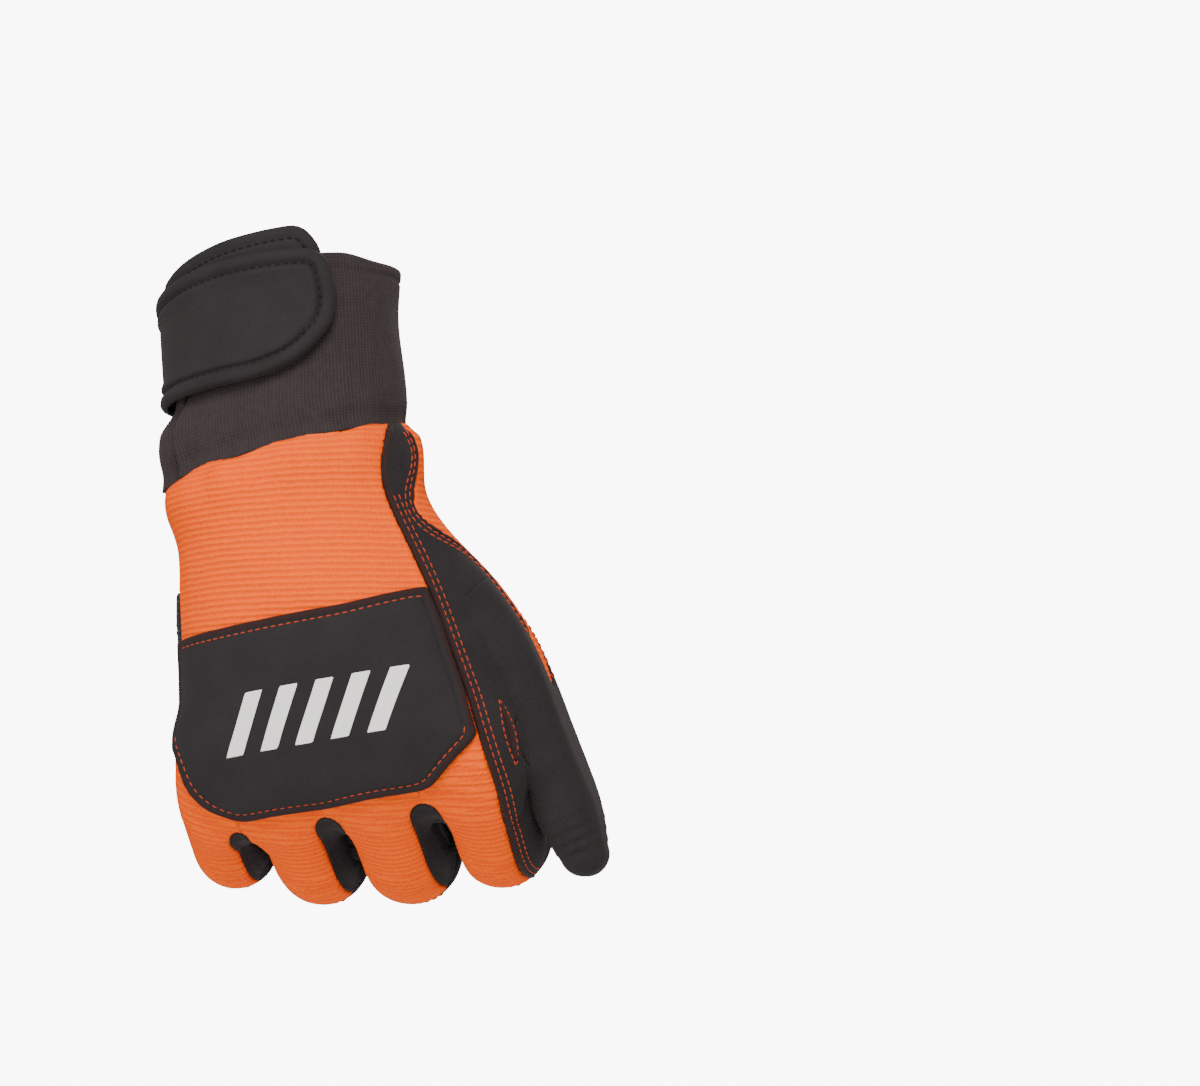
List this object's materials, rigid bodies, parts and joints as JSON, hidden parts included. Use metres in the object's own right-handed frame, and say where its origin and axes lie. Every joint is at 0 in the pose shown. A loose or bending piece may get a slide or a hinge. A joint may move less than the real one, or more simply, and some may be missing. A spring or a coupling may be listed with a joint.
{
  "type": "chainsaw glove",
  "caption": "Right-hand chainsaw work glove in a worn, curled shape: orange stretch back with a padded knuckle patch, black palm and thumb, knit cuff and wrist strap.",
  "frame": {"origin": "middle of the wrist opening, level with the cuff's top edge", "axes": "+Z along the hand, out of the cuff towards the forearm; +Y out of the palm; +X to the thumb side"},
  "size_m": [0.14, 0.1078, 0.2146],
  "materials": {
    "orange_knit": "ribbed stretch knit",
    "cuff_knit": "fine stretch knit",
    "black_suede": "matt synthetic suede",
    "neoprene": "cloth-faced foam",
    "grip_leather": "raised dots on synthetic leather"
  },
  "bodies": {
    "root": {"cuff": "cuff_knit", "strap_under_layer": "neoprene", "strap_tab": "neoprene", "back_panel": "orange_knit", "knuckle_patch": "neoprene", "side_panel": "black_suede", "thumb_gusset": "orange_knit", "thumb": "black_suede", "palm": "black_suede", "palm_patch": "grip_leather", "index_fingertip": "black_suede", "middle_fingertip": "black_suede", "ring_fingertip": "black_suede", "little_fingertip": "black_suede", "index_fourchette": "black_suede", "middle_fourchette": "black_suede", "ring_fourchette": "black_suede"}
  },
  "joints": []
}
